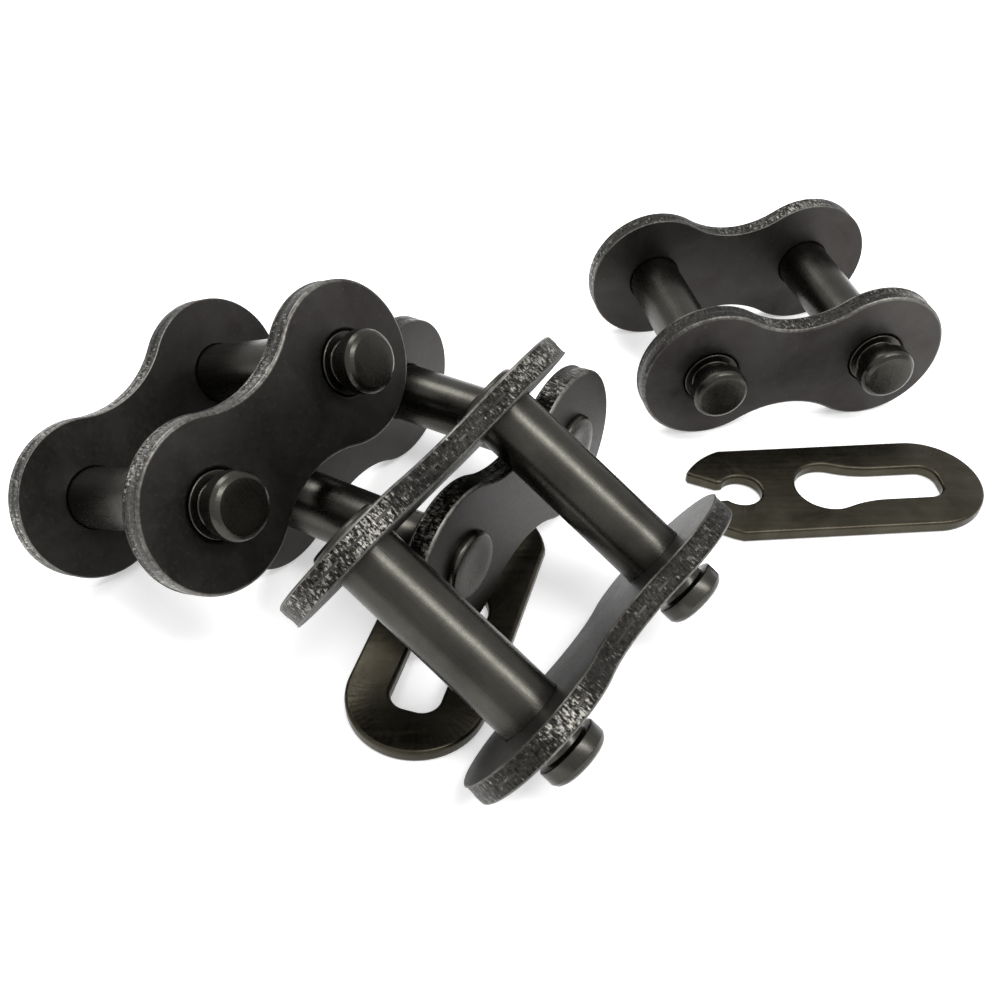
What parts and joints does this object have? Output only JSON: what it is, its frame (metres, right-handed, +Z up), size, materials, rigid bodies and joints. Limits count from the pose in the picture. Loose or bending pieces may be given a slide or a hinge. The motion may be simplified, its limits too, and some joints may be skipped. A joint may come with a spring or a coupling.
{
  "type": "roller chain connecting link set",
  "caption": "Spring-clip connecting links for a roller drive chain, each with a riveted rear plate, grooved pins and a slip-on cover plate, lying loose with flat spring clips.",
  "frame": {"origin": "middle of the set's box, on the surface that it lies on", "axes": "+X to the right along the set's long side, +Y away, +Z up"},
  "size_m": [0.0967, 0.0786, 0.0264],
  "materials": {
    "plate_steel": "blackened and tumbled, soft sheen",
    "pin_steel": "ground and oiled, satin",
    "clip_steel": "tempered spring steel, bronze tint"
  },
  "bodies": {
    "link_a_pins": {"link_a_rear_plate": "plate_steel", "link_a_pin_1": "pin_steel", "link_a_pin_2": "pin_steel"},
    "link_a_cover": {"link_a_cover_plate": "plate_steel"},
    "link_b_pins": {"link_b_rear_plate": "plate_steel", "link_b_pin_1": "pin_steel", "link_b_pin_2": "pin_steel"},
    "link_b_cover": {"link_b_cover_plate": "plate_steel"},
    "link_c_pins": {"link_c_rear_plate": "plate_steel", "link_c_pin_1": "pin_steel", "link_c_pin_2": "pin_steel"},
    "link_c_cover": {"link_c_cover_plate": "plate_steel"},
    "link_d_pins": {"link_d_rear_plate": "plate_steel", "link_d_pin_1": "pin_steel", "link_d_pin_2": "pin_steel"},
    "link_d_cover": {"link_d_cover_plate": "plate_steel"},
    "spring_clip_1": {"spring_clip_1": "clip_steel"},
    "spring_clip_2": {"spring_clip_2": "clip_steel"}
  },
  "joints": [
    {"name": "link_c_pins_slide", "type": "slide", "parent": "link_c_cover", "child": "link_c_pins", "axis": [0.8412, -0.5359, 0.0721], "range_m": [0, 0.006]},
    {"name": "link_a_lift", "type": "slide", "parent": "link_c_cover", "child": "link_a_pins", "axis": [0, 0, 1], "range_m": [0, 0.025]},
    {"name": "link_a_cover_slide", "type": "slide", "parent": "link_a_pins", "child": "link_a_cover", "axis": [0.7356, -0.5151, 0.44], "range_m": [0, 0.006]},
    {"name": "link_b_lift", "type": "slide", "parent": "link_c_pins", "child": "link_b_cover", "axis": [0, 0, 1], "range_m": [0, 0.045]},
    {"name": "link_b_pins_slide", "type": "slide", "parent": "link_b_cover", "child": "link_b_pins", "axis": [-0.7246, 0.4725, 0.5016], "range_m": [0, 0.006]},
    {"name": "link_d_lift", "type": "slide", "parent": "link_c_cover", "child": "link_d_cover", "axis": [0, 0, 1], "range_m": [0, 0.03]},
    {"name": "link_d_pins_slide", "type": "slide", "parent": "link_d_cover", "child": "link_d_pins", "axis": [-0.1874, 0.9823, 0], "range_m": [0, 0.026]},
    {"name": "spring_clip_1_slide", "type": "slide", "parent": "link_c_cover", "child": "spring_clip_1", "axis": [-0.2957, -0.9553, 0], "range_m": [0, 0.038]},
    {"name": "spring_clip_2_lift", "type": "slide", "parent": "link_c_cover", "child": "spring_clip_2", "axis": [0, 0, 1], "range_m": [0, 0.03]}
  ],
  "couplings": [
    {"joint": "link_a_cover_slide", "follows": "link_a_lift", "ratio": 0.24},
    {"joint": "link_b_pins_slide", "follows": "link_b_lift", "ratio": 0.13333}
  ]
}
